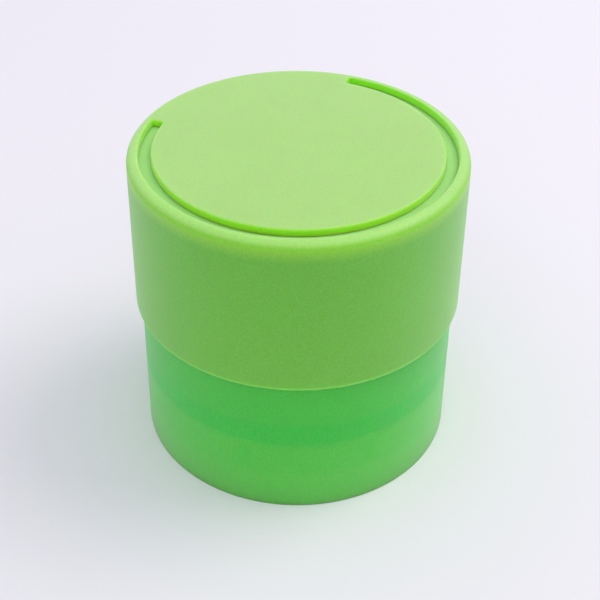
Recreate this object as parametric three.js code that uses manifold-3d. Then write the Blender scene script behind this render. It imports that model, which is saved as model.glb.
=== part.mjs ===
// A round contact lens case that keeps two lenses in wells stacked one above the other.
// The lower well stands in the base shell. The upper well screws over it, and the cap screws
// over the upper well. Millimetres, +Z up, origin at the centre of the base's underside.
import * as THREE from "three";
import { mergeVertices } from "three/addons/utils/BufferGeometryUtils.js";
import Module from "manifold-3d";

const wasm = await Module();
wasm.setup();

// Driving dimensions, in millimetres.
const CASE_HEIGHT = 34;
const SEAM_HEIGHT = 16.8; // the cap's lower edge
const CAP_RADIUS = 17.5; // outside, at the lower edge
const CAP_TOP_RADIUS = 17.3;
const CAP_WALL = 1.1;
const CAP_TOP_THICKNESS = 0.8;
const CAP_EDGE_WIDTH = 1.1; // the rounded top edge, across and down
const CAP_EDGE_DROP = 0.95;
const CAP_CHAMFER = 0.12; // on both sides of the lower edge
const SLOT_INNER_RADIUS = 14.82;
const SLOT_WIDTH = 1.24;
const SLOT_START = 161.5; // degrees from +X, anticlockwise seen from above
const SLOT_SWEEP = 268.5; // the rest of the ring is the bridge that carries the disc
const BASE_RADIUS = 17.1; // outside, at the bottom
const BASE_TOP_RADIUS = 16.9;
const BASE_CHAMFER = 0.15;
const BASE_WALL = 1.2;
const BASE_FLOOR = 1.3;
const WELL_RADIUS = 12.5; // inside of each lens well
const WELL_WALL = 1;
const WELL_FLOOR = 1;
const WELL_CORNER = 2.4; // inside rounding between a well's wall and its floor
const LOWER_MOUTH = 19.4; // height of each well's rim
const UPPER_MOUTH = 30.9;
const LOWER_FLOOR = 9.8; // height of the floor's upper face in each well
const UPPER_FLOOR = 21.5;
const SKIRT_BOTTOM = 10.4; // lower end of the upper well's skirt
const SKIRT_RADIUS = 15.4;
const SHOULDER_CHAMFER = 0.4; // where the inner cap comes to rest on the upper well
const LINER_RADIUS = 15.95; // outside of the inner cap
const LINER_BOTTOM = 21.8;
const LINER_DECK = 0.9;
const BEAD_RISE = 0.25; // ring round the inner cap that grips the cap shell
const BEAD_HALF_WIDTH = 0.5;
const BEAD_TO_BOTTOM = 2;
const FLANGE_HEIGHT = 7.7; // underside of the flange that carries the lower well
const FLANGE_RADIUS = 15.55;
const FLANGE_RIM_TOP = 10;
const FLANGE_THICKNESS = 1;
const FLANGE_RIM_WALL = 0.8;
const SEAL_THICKNESS = 0.7;
const SEAL_INSIDE = 0.5; // how far a seal reaches in past the well's wall, and out past it
const SEAL_OUTSIDE = 0.4;
const RIM_CHAMFER = 0.3;
const GAP = 0.25; // running gap between pieces that meet

// The quick thread that both tiers share.
const THREAD_STARTS = 3;
const THREAD_LEAD = 9;
const THREAD_SWEEP = 96; // degrees that one ridge runs round
const THREAD_TO_RIM = 0.9; // from the rim down to the top end of an outward ridge
const RIDGE_HEIGHT = 0.7;
const RIDGE_ROOT = 1.2; // thickness where it leaves the wall
const RIDGE_CREST = 0.7;
const RIDGE_EMBED = 0.3; // how deep its root sits in the wall
const RIDGE_FADE = 12; // degrees over which each end runs out
const RIDGE_END_HEIGHT = 0.3; // share of the height that is left at the ends
const BORE_RADIUS = 14.5; // wall that carries the inward ridges

const RIB_COUNT = 8; // ribs of the base shell that the flange stands on
const RIB_HEIGHT = 3;
const RIB_WIDTH = 0.9;
const RIB_DEPTH = 0.9;
const RIB_EMBED = 0.6;
const RIB_OFFSET = -108; // degrees
const FLOOR_RIBS = 8; // low ribs that keep a lens from clinging to a well's floor
const FLOOR_RIB_RADIUS = 6; // of a rib's middle
const FLOOR_RIB_LENGTH = 6;
const FLOOR_RIB_WIDTH = 0.7;
const FLOOR_RIB_HEIGHT = 0.35;
const EMBED = 0.2; // how far a joined rib reaches into the wall or floor that it stands on
const CUT_PAST = 1; // how far a cutter runs past both faces
const ROUND_STEPS = 64;
const CORNER_STEPS = 5;

const NECK_RADIUS = WELL_RADIUS + WELL_WALL;
const DECK_TOP = CASE_HEIGHT - CAP_TOP_THICKNESS - GAP;
const DECK_UNDERSIDE = DECK_TOP - LINER_DECK;
const UPPER_UNDERSIDE = UPPER_FLOOR - WELL_FLOOR;
const HALF_PITCH = THREAD_LEAD / THREAD_STARTS / 2;

const radians = THREE.MathUtils.degToRad;

// A manifold-3d solid from a closed three.js geometry.
function solid(geometry) {
  const bare = geometry.clone();
  bare.deleteAttribute("normal");
  bare.deleteAttribute("uv");
  const merged = mergeVertices(bare, 1e-4);
  return new wasm.Manifold(
    new wasm.Mesh({
      numProp: 3,
      vertProperties: new Float32Array(merged.attributes.position.array),
      triVerts: new Uint32Array(merged.index.array),
    }),
  );
}

// The outline, listed anticlockwise in (radius, height), turned about Z.
// An outline that leaves the axis and comes back to it closes there by itself.
function revolve(outline) {
  const points = outline.map(([radius, height]) => new THREE.Vector2(radius, height));
  if (outline[0][0] > 0) points.push(points[0].clone());
  return solid(new THREE.LatheGeometry(points, ROUND_STEPS).rotateX(Math.PI / 2));
}

// Points of a quarter ellipse between two angles in degrees.
function arc(centreRadius, centreHeight, across, up, from, to, steps = CORNER_STEPS) {
  return Array.from({ length: steps + 1 }, (_, i) => {
    const angle = radians(from + ((to - from) * i) / steps);
    return [centreRadius + across * Math.cos(angle), centreHeight + up * Math.sin(angle)];
  });
}

// A section in (radius, height) carried round Z from an angle, climbing by lead each turn.
function sweep(section, from, degrees, lead = 0, fade = 0) {
  const shape = new THREE.Shape(section.map(([radius, height]) => new THREE.Vector2(radius, height)));
  const steps = Math.ceil((ROUND_STEPS * degrees) / 360);
  const geometry = new THREE.ExtrudeGeometry(shape, { depth: 1, steps, bevelEnabled: false });
  const place = geometry.attributes.position;
  const root = section[0][0];
  for (let i = 0; i < place.count; i++) {
    const along = 1 - place.getZ(i);
    const toEnd = Math.min(along, 1 - along) * degrees;
    const run = fade ? Math.min(1, toEnd / fade) : 1;
    const rise = RIDGE_END_HEIGHT + (1 - RIDGE_END_HEIGHT) * run;
    const radius = root + (place.getX(i) - root) * rise;
    const angle = radians(from + along * degrees);
    const height = place.getY(i) + (lead * along * degrees) / 360;
    place.setXYZ(i, radius * Math.cos(angle), radius * Math.sin(angle), height);
  }
  return solid(geometry);
}

// A box standing on a height at a radius and an angle, long in the radial direction.
function radialBox(radius, angle, depth, width, height, low) {
  const box = new THREE.BoxGeometry(depth, width, height);
  box.translate(radius, 0, low + height / 2).rotateZ(radians(angle));
  return solid(box);
}

function join(first, others) {
  return others.reduce((whole, piece) => whole.add(piece), first);
}

// The ridges of a thread: outward ones start from a neck, inward ones from a bore.
function threadRidges(wall, direction, low) {
  const inside = wall - RIDGE_EMBED * direction;
  const crest = wall + RIDGE_HEIGHT * direction;
  const section = [
    [inside, -RIDGE_ROOT / 2],
    [crest, -RIDGE_CREST / 2],
    [crest, RIDGE_CREST / 2],
    [inside, RIDGE_ROOT / 2],
  ];
  if (direction < 0) section.reverse();
  const placed = section.map(([radius, height]) => [radius, height + low]);
  return Array.from({ length: THREAD_STARTS }, (_, i) =>
    sweep(placed, (i * 360) / THREAD_STARTS, THREAD_SWEEP, THREAD_LEAD, RIDGE_FADE),
  );
}

// Height where an outward ridge starts on a well whose rim is at the given height.
// The inward ridge that holds it lies half a pitch lower.
const ridgeStart = (mouth) => mouth - THREAD_TO_RIM - (THREAD_LEAD * THREAD_SWEEP) / 360;

// A well from the outer edge of its rim over to the inside and down to the middle of its floor.
function wellInside(mouth, floor) {
  return [
    [NECK_RADIUS, mouth - RIM_CHAMFER],
    [NECK_RADIUS - RIM_CHAMFER, mouth],
    [WELL_RADIUS + RIM_CHAMFER, mouth],
    [WELL_RADIUS, mouth - RIM_CHAMFER],
    ...arc(WELL_RADIUS - WELL_CORNER, floor + WELL_CORNER, WELL_CORNER, WELL_CORNER, 0, -90),
    [0, floor],
  ];
}

function floorRibs(floor) {
  return Array.from({ length: FLOOR_RIBS }, (_, i) =>
    radialBox(
      FLOOR_RIB_RADIUS,
      (i * 360) / FLOOR_RIBS,
      FLOOR_RIB_LENGTH,
      FLOOR_RIB_WIDTH,
      FLOOR_RIB_HEIGHT + EMBED,
      floor - EMBED,
    ),
  );
}

function capShell() {
  const underside = CASE_HEIGHT - CAP_TOP_THICKNESS;
  const slotOuter = SLOT_INNER_RADIUS + SLOT_WIDTH;
  const body = revolve([
    [0, underside],
    [CAP_TOP_RADIUS - CAP_WALL, underside],
    [CAP_RADIUS - CAP_WALL, SEAM_HEIGHT + CAP_CHAMFER],
    [CAP_RADIUS - CAP_WALL + CAP_CHAMFER, SEAM_HEIGHT],
    [CAP_RADIUS - CAP_CHAMFER, SEAM_HEIGHT],
    [CAP_RADIUS, SEAM_HEIGHT + CAP_CHAMFER],
    ...arc(
      CAP_TOP_RADIUS - CAP_EDGE_WIDTH,
      CASE_HEIGHT - CAP_EDGE_DROP,
      CAP_EDGE_WIDTH,
      CAP_EDGE_DROP,
      0,
      90,
    ),
    [0, CASE_HEIGHT],
  ]);
  const slot = sweep(
    [
      [SLOT_INNER_RADIUS, underside - CUT_PAST],
      [slotOuter, underside - CUT_PAST],
      [slotOuter, CASE_HEIGHT + CUT_PAST],
      [SLOT_INNER_RADIUS, CASE_HEIGHT + CUT_PAST],
    ],
    SLOT_START,
    SLOT_SWEEP,
  );
  return body.subtract(slot);
}

function innerCap() {
  const bead = LINER_BOTTOM + BEAD_TO_BOTTOM;
  const body = revolve([
    [0, DECK_UNDERSIDE],
    [BORE_RADIUS, DECK_UNDERSIDE],
    [BORE_RADIUS, LINER_BOTTOM],
    [LINER_RADIUS, LINER_BOTTOM],
    [LINER_RADIUS, bead - BEAD_HALF_WIDTH],
    [LINER_RADIUS + BEAD_RISE, bead],
    [LINER_RADIUS, bead + BEAD_HALF_WIDTH],
    [LINER_RADIUS, DECK_TOP],
    [0, DECK_TOP],
  ]);
  return join(body, threadRidges(BORE_RADIUS, -1, ridgeStart(UPPER_MOUTH) - HALF_PITCH));
}

function upperWell() {
  const shoulder = LINER_BOTTOM - GAP;
  const body = revolve([
    [0, UPPER_UNDERSIDE],
    [BORE_RADIUS, UPPER_UNDERSIDE],
    [BORE_RADIUS, SKIRT_BOTTOM],
    [SKIRT_RADIUS, SKIRT_BOTTOM],
    [SKIRT_RADIUS, shoulder - SHOULDER_CHAMFER],
    [SKIRT_RADIUS - SHOULDER_CHAMFER, shoulder],
    [NECK_RADIUS, shoulder],
    ...wellInside(UPPER_MOUTH, UPPER_FLOOR),
  ]);
  return join(body, [
    ...threadRidges(NECK_RADIUS, 1, ridgeStart(UPPER_MOUTH)),
    ...threadRidges(BORE_RADIUS, -1, ridgeStart(LOWER_MOUTH) - HALF_PITCH),
    ...floorRibs(UPPER_FLOOR),
  ]);
}

function lowerWell() {
  const underside = LOWER_FLOOR - WELL_FLOOR;
  const rimInside = FLANGE_RADIUS - FLANGE_RIM_WALL;
  const body = revolve([
    [0, underside],
    [WELL_RADIUS - FLANGE_THICKNESS, underside],
    [WELL_RADIUS, FLANGE_HEIGHT],
    [FLANGE_RADIUS, FLANGE_HEIGHT],
    [FLANGE_RADIUS, FLANGE_RIM_TOP],
    [rimInside, FLANGE_RIM_TOP],
    [rimInside, FLANGE_HEIGHT + FLANGE_THICKNESS],
    [NECK_RADIUS, FLANGE_HEIGHT + FLANGE_THICKNESS],
    ...wellInside(LOWER_MOUTH, LOWER_FLOOR),
  ]);
  return join(body, [
    ...threadRidges(NECK_RADIUS, 1, ridgeStart(LOWER_MOUTH)),
    ...floorRibs(LOWER_FLOOR),
  ]);
}

function baseShell() {
  const top = SEAM_HEIGHT - GAP;
  const body = revolve([
    [0, 0],
    [BASE_RADIUS - BASE_CHAMFER, 0],
    [BASE_RADIUS, BASE_CHAMFER],
    [BASE_TOP_RADIUS, top],
    [BASE_TOP_RADIUS - BASE_WALL, top],
    [BASE_RADIUS - BASE_WALL, BASE_FLOOR],
    [0, BASE_FLOOR],
  ]);
  const ribs = Array.from({ length: RIB_COUNT }, (_, i) =>
    radialBox(
      BASE_RADIUS - BASE_WALL - (RIB_DEPTH - RIB_EMBED) / 2,
      RIB_OFFSET + (i * 360) / RIB_COUNT,
      RIB_DEPTH + RIB_EMBED,
      RIB_WIDTH,
      RIB_HEIGHT,
      FLANGE_HEIGHT - GAP - RIB_HEIGHT,
    ),
  );
  return join(body, ribs);
}

// A flat soft ring that lies between a well's rim and the face above it.
function sealRing(face) {
  const low = face - GAP - SEAL_THICKNESS;
  const inner = WELL_RADIUS - SEAL_INSIDE;
  const outer = NECK_RADIUS + SEAL_OUTSIDE;
  return revolve([
    [inner, low],
    [outer, low],
    [outer, low + SEAL_THICKNESS],
    [inner, low + SEAL_THICKNESS],
  ]);
}

const limeShell = { color: 0x97cf6a, roughness: 0.55, metalness: 0 };
const clearGreen = { color: 0x52c654, roughness: 0.45, metalness: 0 };
const paleSeal = { color: 0xe6efe2, roughness: 0.6, metalness: 0 };

function piece(name, made, look) {
  const { vertProperties, triVerts, numProp } = made.getMesh();
  const places = Array.from({ length: vertProperties.length / numProp }, (_, i) =>
    Array.from(vertProperties.subarray(i * numProp, i * numProp + 3)),
  );
  const geometry = new THREE.BufferGeometry();
  geometry.setAttribute("position", new THREE.Float32BufferAttribute(places.flat(), 3));
  geometry.setIndex(Array.from(triVerts));
  geometry.computeVertexNormals();
  const mesh = new THREE.Mesh(geometry, new THREE.MeshStandardMaterial(look));
  mesh.name = name;
  return mesh;
}

const lensCase = new THREE.Group();
lensCase.add(
  piece("cap_shell", capShell(), limeShell),
  piece("inner_cap", innerCap(), clearGreen),
  piece("cap_seal", sealRing(DECK_UNDERSIDE), paleSeal),
  piece("upper_well", upperWell(), clearGreen),
  piece("well_seal", sealRing(UPPER_UNDERSIDE), paleSeal),
  piece("lower_well", lowerWell(), clearGreen),
  piece("base_shell", baseShell(), clearGreen),
);

export default lensCase;
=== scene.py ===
"""A stacked contact lens case: lime cap with a C-shaped slot, cloudy green base and lens wells."""
import math

import bmesh
import bpy
from mathutils import Matrix, Vector

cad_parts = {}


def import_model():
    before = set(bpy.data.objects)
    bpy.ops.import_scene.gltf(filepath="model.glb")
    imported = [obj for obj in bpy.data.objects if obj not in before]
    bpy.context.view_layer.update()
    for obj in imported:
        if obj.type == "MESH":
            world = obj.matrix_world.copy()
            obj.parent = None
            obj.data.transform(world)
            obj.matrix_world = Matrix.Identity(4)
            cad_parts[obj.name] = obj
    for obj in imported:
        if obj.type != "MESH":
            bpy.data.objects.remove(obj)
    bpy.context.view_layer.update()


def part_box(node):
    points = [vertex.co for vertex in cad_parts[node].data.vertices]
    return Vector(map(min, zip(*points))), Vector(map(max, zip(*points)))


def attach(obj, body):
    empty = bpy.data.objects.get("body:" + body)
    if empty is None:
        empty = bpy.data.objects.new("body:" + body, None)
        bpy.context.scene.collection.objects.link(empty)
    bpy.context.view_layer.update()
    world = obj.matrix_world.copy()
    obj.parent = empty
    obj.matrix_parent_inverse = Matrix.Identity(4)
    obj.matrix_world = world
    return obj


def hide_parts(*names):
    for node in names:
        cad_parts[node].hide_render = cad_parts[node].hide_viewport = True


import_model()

MM = 0.001

# Heights and radii from the frame, in millimetres.
cap_low, cap_high = [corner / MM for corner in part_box("cap_shell")]
liner_low, liner_high = [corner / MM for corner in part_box("inner_cap")]
upper_low, upper_high = [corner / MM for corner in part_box("upper_well")]
lower_low, lower_high = [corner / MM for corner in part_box("lower_well")]
base_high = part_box("base_shell")[1] / MM
seam, crown = cap_low.z, cap_high.z

# Sections of the mouldings, in millimetres.
GAP = 0.25  # between pieces that meet
DRAFT = 0.2  # how much each shell narrows towards its top
CAP_TOP_RADIUS = cap_high.x - DRAFT
CAP_WALL = 1.1
CAP_TOP_THICKNESS = 0.8
CAP_EDGE_WIDTH = 1.1  # the rounded top edge, across and down
CAP_EDGE_DROP = 0.95
SLOT_INNER_RADIUS = 14.82
SLOT_WIDTH = 1.24
SLOT_START = 161.5  # degrees from +X, anticlockwise seen from above
SLOT_SWEEP = 268.5
SLOT_LIP = 0.25  # rounding of the slot's upper edge, on the side of the disc
SLOT_OUTER_LIP = 0.22  # how wide the slot flares outwards at the top, on the side of the rim
SLOT_CORNER = 0.25  # rounding in plan at the slot's two ends
CUT_BELOW = 0.4  # how far the slot's cutter runs past the cap's top
CUT_ABOVE = 0.3
BASE_TOP_RADIUS = base_high.x - DRAFT
BASE_WALL = 1.2
BASE_FLOOR = 1.3
WELL_RADIUS = 12.5
WELL_WALL = 1.0
WELL_FLOOR = 1.0
WELL_CORNER = 2.4  # rounding between a well's wall and its floor
WELL_FOOT_INSET = 1.0  # how much the lower well narrows under its flange
NECK_RADIUS = WELL_RADIUS + WELL_WALL
UPPER_FLOOR = 21.5
LOWER_FLOOR = 9.8
SKIRT_RADIUS = 15.4
LINER_RADIUS = 15.95
LINER_DECK = 0.9
DECK_FIT = 0.03  # between the liner's deck and the cap's wall
DECK_RADIUS = CAP_TOP_RADIUS - CAP_WALL - DECK_FIT
DECK_BEVEL = 0.2
BEAD_RISE = 0.25  # ring round the liner that grips the cap
BEAD_HALF_WIDTH = 0.5
BEAD_TO_BOTTOM = 2
FLANGE_RADIUS = lower_high.x
FLANGE_THICKNESS = 1
FLANGE_RIM_TOP = 10.0
FLANGE_RIM_WALL = 0.8
SEAL_INSIDE = 0.5  # how far a seal reaches in past the well's wall
SEAL_ROUNDING = 0.2

# The quick thread that both tiers share.
BORE_RADIUS = 14.5  # wall that carries the inward ridges
THREAD_STARTS = 3
THREAD_LEAD = 9.0
THREAD_SWEEP = 96.0  # degrees that one ridge runs round
THREAD_TO_RIM = 0.9  # from the rim down to the top end of an outward ridge
HALF_PITCH = THREAD_LEAD / THREAD_STARTS / 2
RIDGE_HEIGHT = 0.7
RIDGE_CREST = 0.24  # from a ridge's middle to the edge of its crest, and to its foot
RIDGE_FOOT = 0.66
RIDGE_FADE = (-1, 11)  # degrees from the end over which a ridge rises

# Ribs of the base shell that the flange stands on, and low ribs on each well's floor.
RIB_COUNT = 8
RIB_HEIGHT = 3.0
RIB_WIDTH = 0.9
RIB_DEPTH = 0.9
RIB_OFFSET = -108.0  # degrees
RIB_SOFT = 0.08  # half the width over which a rib's side rounds off
RIB_FOOT = (-0.1, 0.2)  # heights over which a rib rises, from its lower end
RIB_HEAD = 0.15
FLOOR_RIBS = 8
FLOOR_RIB_HEIGHT = 0.35
FLOOR_RIB_HALF_WIDTH = (0.2, 0.5)  # at its crest and at its foot
FLOOR_RIB_INNER_END = (2.8, 3.4)
FLOOR_RIB_OUTER_END = (8.6, 9.2)

# How fine the meshes are.
COLUMNS = 256
ARC_STEP = 13  # degrees
CORNER_STEPS = 4
RIDGE_STEP = 0.14  # height between the rows on a wall with ridges, and on one with ribs
RIB_STEP = 0.1
RIB_COLUMNS = 12  # extra columns to each side of a rib's middle, and the width between them
RIB_COLUMN_WIDTH = 0.09
CLOSEST_COLUMNS = 0.002  # radians
SHARP_ANGLE = math.radians(38)
ON_WALL = 1e-3  # how near to a wall or floor a point counts as on it
WALL_MARGIN = 0.1  # how far outside a wall with ridges the finer rows still start
EDGE_MARGIN = 0.5  # plain stretches left above and below the finer rows
SKIRT_MARGIN = 1
RIM_MARGIN = 0.2
RIDGE_ZONE = 5  # the lower well's ridges lie within this far of its rim


# Outlines in (radius, height).

def rounded(corners, closed):
    """The outline with an arc at each corner. A corner is (radius, height, rounding)."""
    longest = 0.48  # of an edge that one arc may take
    points = []
    count = len(corners)
    for i, (r, z, rounding) in enumerate(corners):
        here = Vector((r, z))
        at_end = not closed and i in (0, count - 1)
        if at_end or rounding <= 0:
            points.append(here)
            continue
        before = Vector(corners[i - 1][:2]) - here
        after = Vector(corners[(i + 1) % count][:2]) - here
        half = before.angle(after) / 2
        reach = min(rounding / math.tan(half), longest * before.length, longest * after.length)
        radius = reach * math.tan(half)
        start = here + before.normalized() * reach
        end = here + after.normalized() * reach
        middle = (before.normalized() + after.normalized()).normalized()
        centre = here + middle * radius / math.sin(half)
        spoke = start - centre
        turn = spoke.angle_signed(end - centre)
        steps = max(3, math.ceil(abs(math.degrees(turn)) / ARC_STEP))
        for step in range(steps + 1):
            angle = -turn * step / steps
            points.append(centre + Vector((
                spoke.x * math.cos(angle) - spoke.y * math.sin(angle),
                spoke.x * math.sin(angle) + spoke.y * math.cos(angle),
            )))
    return [(p.x, p.y) for p in points]


def finer(points, low, high, step, within):
    """Extra points between two heights on the walls within a radius, so that ridges can be raised there."""
    result = []
    for (r0, z0), (r1, z1) in zip(points, points[1:]):
        result.append((r0, z0))
        if min(z0, z1) > high or max(z0, z1) < low or abs(z1 - z0) < step or max(r0, r1) > within:
            continue
        count = math.ceil(abs(z1 - z0) / step)
        result += [(r0 + (r1 - r0) * i / count, z0 + (z1 - z0) * i / count) for i in range(1, count)]
    result.append(points[-1])
    return result


def quarter(centre_r, centre_z, across, up, start, end):
    """Corner points, without rounding, on an arc of an ellipse."""
    steps = 10
    points = []
    for i in range(steps + 1):
        angle = math.radians(start + (end - start) * i / steps)
        points.append((centre_r + across * math.cos(angle), centre_z + up * math.sin(angle), 0))
    return points


def smooth_step(value, low, high):
    """Rises smoothly from 0 at low to 1 at high."""
    t = min(1.0, max(0.0, (value - low) / (high - low)))
    return t * t * (3 - 2 * t)


# Meshes.

def smooth(mesh):
    """Smooth shading, with an edge kept sharp where its faces meet at more than SHARP_ANGLE."""
    mesh.shade_smooth()
    mesh.set_sharp_from_angle(angle=SHARP_ANGLE)


def new_object(name, bm):
    """A smooth-shaded object from a bmesh in millimetres."""
    bmesh.ops.remove_doubles(bm, verts=bm.verts, dist=1e-5)
    bmesh.ops.recalc_face_normals(bm, faces=bm.faces)
    bmesh.ops.scale(bm, vec=(MM, MM, MM), verts=bm.verts)
    mesh = bpy.data.meshes.new(name)
    bm.to_mesh(mesh)
    bm.free()
    smooth(mesh)
    made = bpy.data.objects.new(name, mesh)
    bpy.context.scene.collection.objects.link(made)
    return made


def turned(points, closed=False, shift=None, angles=None):
    """A bmesh of the outline turned about Z. shift(r, z, angle) moves a point in its own half plane."""
    angles = angles or [2 * math.pi * j / COLUMNS for j in range(COLUMNS)]
    bm = bmesh.new()
    rows = []
    for r, z in points:
        if r < 1e-6:
            rows.append([bm.verts.new((0, 0, z))] * len(angles))
            continue
        row = []
        for angle in angles:
            nr, nz = shift(r, z, angle) if shift else (r, z)
            row.append(bm.verts.new((nr * math.cos(angle), nr * math.sin(angle), nz)))
        rows.append(row)
    pairs = list(zip(rows, rows[1:]))
    if closed:
        pairs.append((rows[-1], rows[0]))
    for low, high in pairs:
        for j in range(len(angles)):
            k = (j + 1) % len(angles)
            corners = []
            for vert in (low[j], low[k], high[k], high[j]):
                if vert not in corners:
                    corners.append(vert)
            if len(corners) > 2:
                bm.faces.new(corners)
    return bm


# Features raised on the walls.

def ridge_start(mouth):
    """Height of the start of an outward ridge on a well with its rim at that height."""
    return mouth - THREAD_TO_RIM - THREAD_LEAD * THREAD_SWEEP / 360


def thread_rise(z, angle, low):
    """How far a thread ridge stands out at a height and an angle."""
    along = math.degrees(angle) % (360 / THREAD_STARTS)
    if along > THREAD_SWEEP:
        return 0.0
    off = abs(z - low - THREAD_LEAD * along / 360)
    ends = smooth_step(min(along, THREAD_SWEEP - along), *RIDGE_FADE)
    return RIDGE_HEIGHT * ends * (1 - smooth_step(off, RIDGE_CREST, RIDGE_FOOT))


def off_spoke(angle, offset, count):
    """Radians from the nearest of the evenly spaced spokes, one of which is at the offset."""
    spacing = 2 * math.pi / count
    return abs((angle - offset + spacing / 2) % spacing - spacing / 2)


def floor_rib_rise(r, angle):
    """How far a low radial rib stands up from a well's floor."""
    across = off_spoke(angle, 0, FLOOR_RIBS) * r
    ends = smooth_step(r, *FLOOR_RIB_INNER_END) * (1 - smooth_step(r, *FLOOR_RIB_OUTER_END))
    return FLOOR_RIB_HEIGHT * ends * (1 - smooth_step(across, *FLOOR_RIB_HALF_WIDTH))


def well_inside(mouth, floor):
    """Corners from a well's rim down to the middle of its floor, every quarter millimetre under the ribs."""
    corner_radius = WELL_RADIUS - WELL_CORNER
    return [
        (NECK_RADIUS, mouth, 0.35),
        (WELL_RADIUS, mouth, 0.35),
        *quarter(corner_radius, floor + WELL_CORNER, WELL_CORNER, WELL_CORNER, 0, -90),
        *[(quarters / 4, floor, 0) for quarters in range(38, 8, -1)],
        (0, floor, 0),
    ]


def well_shift(floor, threads):
    """Raises the floor ribs and the threads. A thread is (wall radius, direction, start height)."""
    def shift(r, z, angle):
        if abs(z - floor) < ON_WALL and r < WELL_RADIUS - WELL_CORNER:
            return r, z + floor_rib_rise(r, angle)
        for wall, direction, low in threads:
            if abs(r - wall) < ON_WALL:
                return r + direction * thread_rise(z, angle, low), z
        return r, z
    return shift


# The pieces.

def slot_outline(grow):
    """The C-shaped slot as (radius, angle) points, grown on all sides, a little less on the outer one."""
    corner = SLOT_CORNER + grow
    r_in = SLOT_INNER_RADIUS - grow
    r_out = SLOT_INNER_RADIUS + SLOT_WIDTH + grow * SLOT_OUTER_LIP / SLOT_LIP
    first = math.radians(SLOT_START) + SLOT_CORNER / SLOT_INNER_RADIUS
    last = math.radians(SLOT_START + SLOT_SWEEP) - SLOT_CORNER / SLOT_INNER_RADIUS

    def end_corner(centre_r, centre_angle, sign, start, end):
        arc = []
        for i in range(CORNER_STEPS + 1):
            turn = math.radians(start + (end - start) * i / CORNER_STEPS)
            r = centre_r + corner * math.cos(turn)
            arc.append((r, centre_angle + sign * corner * math.sin(turn) / r))
        return arc

    count = round(COLUMNS * SLOT_SWEEP / 360)  # as fine as the cap's columns
    between = [first + (last - first) * i / count for i in range(1, count)]
    return [
        *end_corner(r_in + corner, first, -1, 180, 90),
        *end_corner(r_out - corner, first, -1, 90, 0),
        *[(r_out, angle) for angle in between],
        *end_corner(r_out - corner, last, 1, 0, 90),
        *end_corner(r_in + corner, last, 1, 90, 180),
        *[(r_in, angle) for angle in reversed(between)],
    ]


def slot_cutter():
    """The C-shaped cutter, flared at the top so that the slot gets a rounded lip."""
    levels = [(crown - CAP_TOP_THICKNESS - CUT_BELOW, 0.0), (crown - SLOT_LIP, 0.0)]
    for i in range(1, CORNER_STEPS + 1):
        angle = math.pi / 2 * i / CORNER_STEPS
        levels.append((crown - SLOT_LIP + SLOT_LIP * math.sin(angle), SLOT_LIP * (1 - math.cos(angle))))
    levels.append((crown + CUT_ABOVE, SLOT_LIP))
    bm = bmesh.new()
    loops = []
    for height, grow in levels:
        places = [(r * math.cos(angle), r * math.sin(angle), height) for r, angle in slot_outline(grow)]
        loops.append([bm.verts.new(place) for place in places])
    size = len(loops[0])
    for low, high in zip(loops, loops[1:]):
        for j in range(size):
            k = (j + 1) % size
            bm.faces.new((low[j], low[k], high[k], high[j]))
    bm.faces.new(loops[0])
    bm.faces.new(loops[-1])
    return new_object("slot_cutter", bm)


def cut(made, cutter):
    """Cuts the cutter out of the piece for good, and removes the cutter."""
    cutting = made.modifiers.new("cut", "BOOLEAN")
    cutting.operation = "DIFFERENCE"
    cutting.solver = "EXACT"
    cutting.object = cutter
    bpy.context.view_layer.update()
    evaluated = made.evaluated_get(bpy.context.evaluated_depsgraph_get())
    mesh = bpy.data.meshes.new_from_object(evaluated)
    made.modifiers.clear()
    made.data = mesh
    bpy.data.objects.remove(cutter)
    smooth(mesh)


def cap_shell():
    """The opaque outer cap, with the slot cut through its top."""
    underside = crown - CAP_TOP_THICKNESS
    edge = (CAP_TOP_RADIUS - CAP_EDGE_WIDTH, crown - CAP_EDGE_DROP)
    points = rounded([
        (0, underside, 0),
        (CAP_TOP_RADIUS - CAP_WALL, underside, 0.02),
        (cap_high.x - CAP_WALL, seam, 0.15),
        (cap_high.x, seam, 0.15),
        *quarter(*edge, CAP_EDGE_WIDTH, CAP_EDGE_DROP, 0, 90),
        (0, crown, 0),
    ], closed=False)
    made = new_object("cap_shell_fine", turned(points))
    cut(made, slot_cutter())
    return made


def inner_cap():
    """The lining of the cap. Its deck meets the cap's top and is the floor of the slot."""
    deck = crown - CAP_TOP_THICKNESS
    bottom = liner_low.z
    underside = liner_high.z - LINER_DECK
    bead = bottom + BEAD_TO_BOTTOM
    low = ridge_start(upper_high.z) - HALF_PITCH
    points = rounded([
        (0, underside, 0),
        (BORE_RADIUS, underside, 0.15),
        (BORE_RADIUS, bottom, 0.2),
        (LINER_RADIUS, bottom, 0.25),
        (LINER_RADIUS, bead - BEAD_HALF_WIDTH, 0.1),
        (LINER_RADIUS + BEAD_RISE, bead, 0.1),
        (LINER_RADIUS, bead + BEAD_HALF_WIDTH, 0.1),
        (LINER_RADIUS, underside, 0.1),
        (DECK_RADIUS, underside + DECK_BEVEL, 0),
        (DECK_RADIUS, deck, 0),
        (0, deck, 0),
    ], closed=False)
    ridge_low, ridge_high = bottom + EDGE_MARGIN, underside - EDGE_MARGIN
    points = finer(points, ridge_low, ridge_high, RIDGE_STEP, BORE_RADIUS + WALL_MARGIN)

    def shift(r, z, angle):
        if abs(r - BORE_RADIUS) < ON_WALL:
            return r - thread_rise(z, angle, low), z
        return r, z
    return new_object("inner_cap_fine", turned(points, shift=shift))


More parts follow.
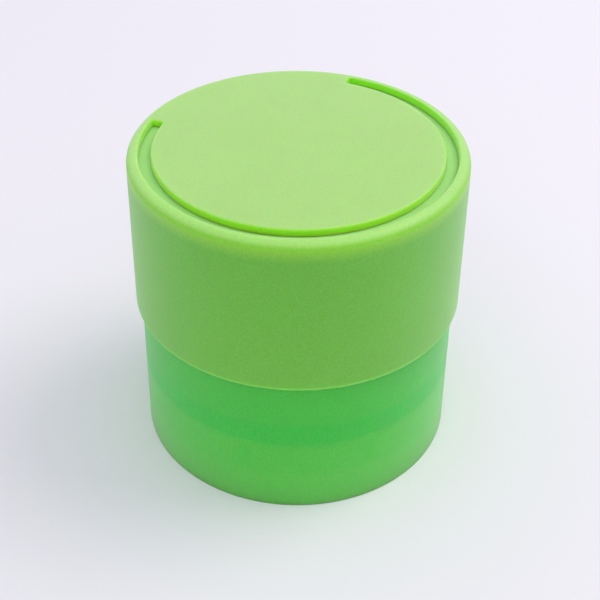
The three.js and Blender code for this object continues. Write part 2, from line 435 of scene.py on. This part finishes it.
def upper_well():
    """The upper lens well, with the skirt that screws over the lower one."""
    mouth = upper_high.z
    shoulder = liner_low.z - GAP
    points = rounded([
        (0, UPPER_FLOOR - WELL_FLOOR, 0),
        (BORE_RADIUS, UPPER_FLOOR - WELL_FLOOR, 0.2),
        (BORE_RADIUS, upper_low.z, 0.2),
        (SKIRT_RADIUS, upper_low.z, 0.3),
        (SKIRT_RADIUS, shoulder, 0.4),
        (NECK_RADIUS, shoulder, 0.3),
        *well_inside(mouth, UPPER_FLOOR),
    ], closed=False)
    ridge_low, ridge_high = upper_low.z + SKIRT_MARGIN, mouth - RIM_MARGIN
    points = finer(points, ridge_low, ridge_high, RIDGE_STEP, BORE_RADIUS + WALL_MARGIN)
    shift = well_shift(UPPER_FLOOR, [
        (NECK_RADIUS, 1, ridge_start(mouth)),
        (BORE_RADIUS, -1, ridge_start(lower_high.z) - HALF_PITCH),
    ])
    return new_object("upper_well_fine", turned(points, shift=shift))


def lower_well():
    """The lower lens well, with the flange that stands on the ribs of the base."""
    mouth = lower_high.z
    flange = lower_low.z
    rim_inside = FLANGE_RADIUS - FLANGE_RIM_WALL
    points = rounded([
        (0, LOWER_FLOOR - WELL_FLOOR, 0),
        (WELL_RADIUS - WELL_FOOT_INSET, LOWER_FLOOR - WELL_FLOOR, 0.5),
        (WELL_RADIUS, flange, 0.5),
        (FLANGE_RADIUS, flange, 0.25),
        (FLANGE_RADIUS, FLANGE_RIM_TOP, 0.25),
        (rim_inside, FLANGE_RIM_TOP, 0.25),
        (rim_inside, flange + FLANGE_THICKNESS, 0.2),
        (NECK_RADIUS, flange + FLANGE_THICKNESS, 0.3),
        *well_inside(mouth, LOWER_FLOOR),
    ], closed=False)
    ridge_low, ridge_high = mouth - RIDGE_ZONE, mouth - RIM_MARGIN
    points = finer(points, ridge_low, ridge_high, RIDGE_STEP, NECK_RADIUS + WALL_MARGIN)
    shift = well_shift(LOWER_FLOOR, [(NECK_RADIUS, 1, ridge_start(mouth))])
    return new_object("lower_well_fine", turned(points, shift=shift))


def base_angles(radius):
    """Angles of the columns of the base, with extra ones round each rib."""
    angles = {round(2 * math.pi * j / COLUMNS, 6) for j in range(COLUMNS)}
    for i in range(RIB_COUNT):
        middle = math.radians(RIB_OFFSET) + i * 2 * math.pi / RIB_COUNT
        for k in range(-RIB_COLUMNS, RIB_COLUMNS + 1):
            angles.add(round((middle + k * RIB_COLUMN_WIDTH / radius) % (2 * math.pi), 6))
    ordered = sorted(angles)
    return ordered[:1] + [b for a, b in zip(ordered, ordered[1:]) if b - a > CLOSEST_COLUMNS]


def base_shell():
    """The cloudy outer cup, with upright ribs inside."""
    radius, top = base_high.x, base_high.z
    rib_top = lower_low.z - GAP
    rib_bottom = rib_top - RIB_HEIGHT
    inner_top, inner_bottom = BASE_TOP_RADIUS - BASE_WALL, radius - BASE_WALL
    slack = 0.01
    points = rounded([
        (0, 0, 0),
        (radius, 0, 0.08),
        (BASE_TOP_RADIUS, top, 0.2),
        (inner_top, top, 0.25),
        (inner_bottom, BASE_FLOOR, 0.5),
        (0, BASE_FLOOR, 0),
    ], closed=False)
    fine_low, fine_high = rib_bottom - EDGE_MARGIN, rib_top + EDGE_MARGIN
    points = finer(points, fine_low, fine_high, RIB_STEP, inner_bottom + WALL_MARGIN)

    def shift(r, z, angle):
        across = off_spoke(angle, math.radians(RIB_OFFSET), RIB_COUNT) * r
        on_inner_wall = inner_top - slack < r < inner_bottom + slack
        if not on_inner_wall or across > RIB_WIDTH:
            return r, z
        up = smooth_step(z, rib_bottom + RIB_FOOT[0], rib_bottom + RIB_FOOT[1])
        up *= 1 - smooth_step(z, rib_top - RIB_HEAD, rib_top)
        side = 1 - smooth_step(across, RIB_WIDTH / 2 - RIB_SOFT, RIB_WIDTH / 2 + RIB_SOFT)
        return r - RIB_DEPTH * up * side, z
    return new_object("base_shell_fine", turned(points, shift=shift, angles=base_angles(radius)))


def seal_ring(node):
    """A flat soft ring of the size of its node."""
    low, high = [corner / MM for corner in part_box(node)]
    inner = WELL_RADIUS - SEAL_INSIDE
    points = rounded([
        (inner, low.z, SEAL_ROUNDING),
        (high.x, low.z, SEAL_ROUNDING),
        (high.x, high.z, SEAL_ROUNDING),
        (inner, high.z, SEAL_ROUNDING),
    ], closed=True)
    return new_object(node + "_fine", turned(points, closed=True))


# Materials.

def linear(colour):
    """Linear values of an sRGB colour given as 0 to 255."""
    values = [c / 255 for c in colour]
    return tuple(v / 12.92 if v <= 0.04045 else ((v + 0.055) / 1.055) ** 2.4 for v in values) + (1.0,)


class Shading:
    """A new material, with short calls that add nodes to it.

    A value is a number, a colour or another node's output. Places are the object's own, in metres, and
    radius is the distance from its Z axis."""

    def __init__(self, name):
        self.material = bpy.data.materials.new(name)
        self.material.use_nodes = True
        self.tree = self.material.node_tree
        self.shader = self.tree.nodes["Principled BSDF"]
        coordinates = self.tree.nodes.new("ShaderNodeTexCoord").outputs
        self.place = coordinates["Object"]
        self.x, self.y, self.z = self.parts(self.place)
        self.facing_up = self.parts(coordinates["Normal"])[2]
        self.radius = self.maths("SQRT", self.maths(
            "ADD", self.maths("MULTIPLY", self.x, self.x), self.maths("MULTIPLY", self.y, self.y)
        ))

    def feed(self, socket, value):
        """Sets a socket to a number or a colour, or links it to an output."""
        if isinstance(value, (int, float, tuple)):
            socket.default_value = value
        else:
            self.tree.links.new(value, socket)

    def parts(self, vector):
        """The X, Y and Z of a vector."""
        made = self.tree.nodes.new("ShaderNodeSeparateXYZ")
        self.feed(made.inputs["Vector"], vector)
        return made.outputs["X"], made.outputs["Y"], made.outputs["Z"]

    def maths(self, operation, *values):
        made = self.tree.nodes.new("ShaderNodeMath")
        made.operation = operation
        for socket, value in zip(made.inputs, values):
            self.feed(socket, value)
        return made.outputs["Value"]

    def ramp(self, value, low, high, start=0.0, end=1.0):
        """Goes smoothly from start to end as the value goes from low to high."""
        made = self.tree.nodes.new("ShaderNodeMapRange")
        made.interpolation_type = "SMOOTHSTEP"
        for socket, given in (
            ("Value", value), ("From Min", low), ("From Max", high), ("To Min", start), ("To Max", end),
        ):
            self.feed(made.inputs[socket], given)
        return made.outputs["Result"]

    def blend(self, factor, first, second, kind="MIX"):
        made = self.tree.nodes.new("ShaderNodeMix")
        made.data_type = "RGBA"
        made.blend_type = kind
        made.clamp_result = True
        for socket, value in (("Factor", factor), ("A", first), ("B", second)):
            self.feed(made.inputs[socket], value)
        return made.outputs["Result"]

    def noise(self, scale, detail, roughness):
        made = self.tree.nodes.new("ShaderNodeTexNoise")
        made.inputs["Scale"].default_value = scale
        made.inputs["Detail"].default_value = detail
        made.inputs["Roughness"].default_value = roughness
        self.feed(made.inputs["Vector"], self.place)
        return made.outputs["Fac"]

    def bump(self, height, strength, distance):
        made = self.tree.nodes.new("ShaderNodeBump")
        made.inputs["Strength"].default_value = strength
        made.inputs["Distance"].default_value = distance
        self.feed(made.inputs["Height"], height)
        return made.outputs["Normal"]


def tones_by_height(shading, tones):
    """A colour that goes through (height, colour) pairs from the bottom up."""
    if len(tones) == 1:
        return linear(tones[0][1])
    lowest, highest = tones[0][0] * MM, tones[-1][0] * MM
    bands = shading.tree.nodes.new("ShaderNodeValToRGB")
    above = shading.maths("SUBTRACT", shading.z, lowest)
    shading.feed(bands.inputs["Fac"], shading.maths("DIVIDE", above, highest - lowest))
    stops = bands.color_ramp.elements
    for i, (height, tone) in enumerate(tones):
        share = (height * MM - lowest) / (highest - lowest)
        stop = stops[i] if i < 2 else stops.new(share)
        stop.position = share
        stop.color = linear(tone)
    return bands.outputs["Color"]


def with_painted_rib_shade(shading, colour, bottom, above, tone):
    """Painted shade: a soft darker upright mark on the wall outside each rib, between two heights, where the
    rib behind the cloudy wall holds back light coming through it.
    """
    half_spacing = math.pi / RIB_COUNT
    half_width = 1.4 * RIB_WIDTH
    foot, head = 0.8, 0.2  # half the height over which a mark fades in, and out
    turn = shading.maths("ARCTAN2", shading.y, shading.x)
    from_first = shading.maths("SUBTRACT", turn, math.radians(RIB_OFFSET))
    from_rib = shading.maths("ABSOLUTE", shading.maths("WRAP", from_first, -half_spacing, half_spacing))
    across = shading.maths("MULTIPLY", from_rib, shading.radius)
    mark = shading.ramp(across, 0, half_width * MM, 1, 0)
    rise = shading.ramp(shading.z, (bottom - foot) * MM, (bottom + foot) * MM)
    fall = shading.ramp(shading.z, (above - head) * MM, (above + head) * MM, 1, 0)
    mark = shading.maths("MULTIPLY", shading.maths("MULTIPLY", mark, rise), fall)
    return shading.blend(mark, colour, linear(tone))


def with_painted_slot_shade(shading, colour, edge, tone, painted_lip_light):
    """Painted shade: deeper, greener tones on the slot's walls, which lie within the edge radius, standing
    in for the shade and green bounce light in the groove, with painted light paler towards the lip.
    """
    lip_height = 0.75
    fade_in, fade_out = 0.1, 0.12
    inside = shading.ramp(shading.radius, (edge - fade_in) * MM, (edge + fade_out) * MM, 1, 0)
    to_lip = shading.ramp(shading.z, (crown - lip_height) * MM, crown * MM)
    return shading.blend(inside, colour, shading.blend(to_lip, linear(tone), linear(painted_lip_light)))


def plastic(name, tones, roughness, grain, haze=0.016, top=None, slot=None, ribs=None, **constants):
    """Moulded plastic: tones by height, slow colour drift, fine grain and uneven roughness.

    tones are (height in millimetres, colour) pairs from the bottom up, and can carry painted light and
    shade. haze is how much lighter and darker the grain's specks are. top is a paler tone painted on faces
    that look up, as painted light from above. slot is (radius, deep tone, lip tone) for painted shade on the
    walls within that radius, with painted light towards the lip. ribs is (bottom, top, tone) for painted
    shade where the standing ribs stand behind the wall. constants are sockets of the shader, with _ for a
    space."""
    shading = Shading(name)
    colour = tones_by_height(shading, tones)
    if ribs:
        colour = with_painted_rib_shade(shading, colour, *ribs)
    if slot:
        colour = with_painted_slot_shade(shading, colour, *slot)
    if top:
        # Painted light: faces that look up get the paler top tone, as if lit from above, while the sides
        # keep the deeper tones.
        slanted, level = 0.42, 0.93
        colour = shading.blend(shading.ramp(shading.facing_up, slanted, level), colour, linear(top))
    drift = shading.noise(scale=90, detail=3, roughness=0.5)
    fine = shading.noise(scale=5200, detail=4, roughness=0.6)
    darkest, lightest = 0.98, 1.01
    smoothest, roughest = roughness - 0.06, roughness + 0.06
    colour = shading.blend(1.0, colour, shading.ramp(drift, 0.3, 0.7, darkest, lightest), "MULTIPLY")
    colour = shading.blend(1.0, colour, shading.ramp(fine, 0.3, 0.7, -haze, haze), "ADD")
    rough = shading.ramp(fine, 0.2, 0.8, smoothest, roughest)
    sockets = shading.shader.inputs
    shading.feed(sockets["Base Color"], colour)
    shading.feed(sockets["Roughness"], rough)
    shading.feed(sockets["Normal"], shading.bump(fine, grain, 0.04 * MM))
    for socket, value in constants.items():
        sockets[socket.replace("_", " ")].default_value = value
    return shading.material


lime = plastic(
    "lime_plastic",
    [  # a pale line at the seam, an even side, and painted light at the start of the rounded top edge, paler where light from the top scatters down the side
        (seam, (130, 202, 70)),
        (seam + 0.4, (106, 187, 42)),
        (crown - 2.1, (103, 185, 42)),
        (crown - 0.9, (136, 203, 42)),
    ],
    # top is painted light on the faces that look up
    roughness=0.5, grain=0.5, haze=0.02, top=(169, 217, 114),
    # slot paints shade and green bounce light in the groove, lighter at the lip
    slot=(SLOT_INNER_RADIUS + SLOT_WIDTH, (164, 255, 8), (158, 218, 40)),
    Subsurface_Weight=1.0, Subsurface_Scale=0.001, Subsurface_Radius=(0.7, 1.6, 0.35), IOR=1.49,
    Sheen_Weight=0.3, Sheen_Roughness=0.5,
)
cloudiness = dict(
    Transmission_Weight=0.45, IOR=1.45,
    Subsurface_Weight=1.0, Subsurface_Scale=0.003, Subsurface_Radius=(0.4, 1.0, 0.4),
)
wall = plastic(
    "cloudy_green_wall",
    [  # painted light and shade: palest at the foot where light comes through from the floor, a painted shade band where the flange behind the wall holds back light, a medium shade above, and painted shadow darkest at the seam under the cap
        (0.5, (112, 255, 82)),
        (4.0, (107, 250, 77)),
        (5.0, (97, 246, 72)),
        (7.9, (94, 244, 70)),
        (8.6, (82, 240, 66)),
        (9.1, (46, 237, 58)),
        (11.1, (46, 237, 58)),
        (11.7, (68, 237, 60)),
        (14.5, (76, 237, 62)),
        (16.0, (74, 237, 60)),
        (16.7, (58, 228, 54)),
    ],
    # ribs paints shade on the wall outside each standing rib
    roughness=0.5, grain=0.4, haze=0.028, ribs=(5.2, 8.9, (83, 246, 63)),
    Sheen_Weight=0.29, Sheen_Roughness=0.5, **cloudiness,
)
cloudy = plastic(
    "cloudy_green_plastic", [(0, (104, 236, 90))], roughness=0.5, grain=0.4,
    Sheen_Weight=0.25, Sheen_Roughness=0.4, **cloudiness,
)
liner = plastic(
    "pale_liner_plastic", [(0, (169, 223, 128))], roughness=0.5, grain=0.4, IOR=1.45,
    Subsurface_Weight=1.0, Subsurface_Scale=0.0008, Subsurface_Radius=(0.6, 1.0, 0.5),
)
silicone = plastic("pale_silicone", [(0, (220, 234, 217))], roughness=0.6, grain=0.3, IOR=1.41)

for node, made, body, slot_name, material in (
    ("cap_shell", cap_shell(), "cap", "cap_plastic", lime),
    ("inner_cap", inner_cap(), "cap", "clear_green_plastic", liner),
    ("cap_seal", seal_ring("cap_seal"), "upper_ring", "seal_rubber", silicone),
    ("upper_well", upper_well(), "upper_cup", "clear_green_plastic", cloudy),
    ("well_seal", seal_ring("well_seal"), "lower_ring", "seal_rubber", silicone),
    ("lower_well", lower_well(), "base", "clear_green_plastic", cloudy),
    ("base_shell", base_shell(), "base", "clear_green_plastic", wall),
):
    made.modifiers.new("weighted normals", "WEIGHTED_NORMAL").keep_sharp = True
    made.data.materials.clear()
    made.data.materials.append(material)
    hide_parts(node)
    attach(made, body)


# Floor, light and camera.

def floor():
    """A wide pale floor, just below the underside of the base."""
    half = 2.0
    corners = [(-half, -half, 0), (half, -half, 0), (half, half, 0), (-half, half, 0)]
    mesh = bpy.data.meshes.new("floor")
    mesh.from_pydata(corners, [], [(0, 1, 2, 3)])
    made = bpy.data.objects.new("floor", mesh)
    made.location.z = -0.02 * MM
    bpy.context.scene.collection.objects.link(made)
    paper = bpy.data.materials.new("pale_floor")
    paper.use_nodes = True
    shader = paper.node_tree.nodes["Principled BSDF"]
    shader.inputs["Base Color"].default_value = linear((240, 235, 240))
    shader.inputs["Roughness"].default_value = 0.9
    shader.inputs["Specular IOR Level"].default_value = 0.1
    mesh.materials.append(paper)


def area_light(name, place, size, power, colour):
    """A round soft light that points at the case's axis, just below the seam."""
    target = Vector((0, 0, 0.015))
    data = bpy.data.lights.new(name, "AREA")
    data.shape = "DISK"
    data.size = size
    data.energy = power
    data.color = colour
    made = bpy.data.objects.new(name, data)
    made.location = place
    made.rotation_mode = "QUATERNION"
    made.rotation_quaternion = (target - Vector(place)).to_track_quat("-Z", "Y")
    bpy.context.scene.collection.objects.link(made)


def camera():
    """The photograph's view, down at 37.8 degrees on the case's axis from 7.4 cap radii away."""
    elevation = math.radians(37.83)
    yaw, roll = 0.003, 0.0124
    cap_radius = cap_high.x * MM
    distance = 7.364 * cap_radius
    aim_height = 0.826 * cap_radius
    forward = Vector((
        math.sin(yaw) * math.cos(elevation),
        math.cos(yaw) * math.cos(elevation),
        -math.sin(elevation),
    ))
    data = bpy.data.cameras.new("camera")
    data.sensor_width = 36
    data.lens = 69.9
    data.clip_start = 0.01
    made = bpy.data.objects.new("camera", data)
    made.location = (0, -distance * math.cos(elevation), aim_height + distance * math.sin(elevation))
    made.rotation_mode = "QUATERNION"
    right = forward.cross(Vector((0, 0, 1))).normalized()
    up = right.cross(forward)
    rolled = up * math.cos(roll) - right * math.sin(roll)
    side = forward.cross(rolled).normalized()
    made.rotation_quaternion = Matrix((side, rolled, -forward)).transposed().to_quaternion()
    bpy.context.scene.collection.objects.link(made)
    bpy.context.scene.camera = made


def world():
    """Even, slightly cool light from all round."""
    made = bpy.data.worlds.new("studio")
    made.use_nodes = True
    background = made.node_tree.nodes["Background"]
    background.inputs["Color"].default_value = (0.92, 0.942, 1.03, 1)
    background.inputs["Strength"].default_value = 0.825
    bpy.context.scene.world = made


floor()
world()
area_light("key", place=(0.27, 0.07, 0.42), size=0.30, power=0.75, colour=(1.0, 0.97, 0.93))
area_light("fill", place=(-0.08, -0.50, 0.40), size=0.5, power=0.4, colour=(1.0, 0.97, 0.95))
camera()
bpy.context.scene.view_settings.view_transform = "Standard"
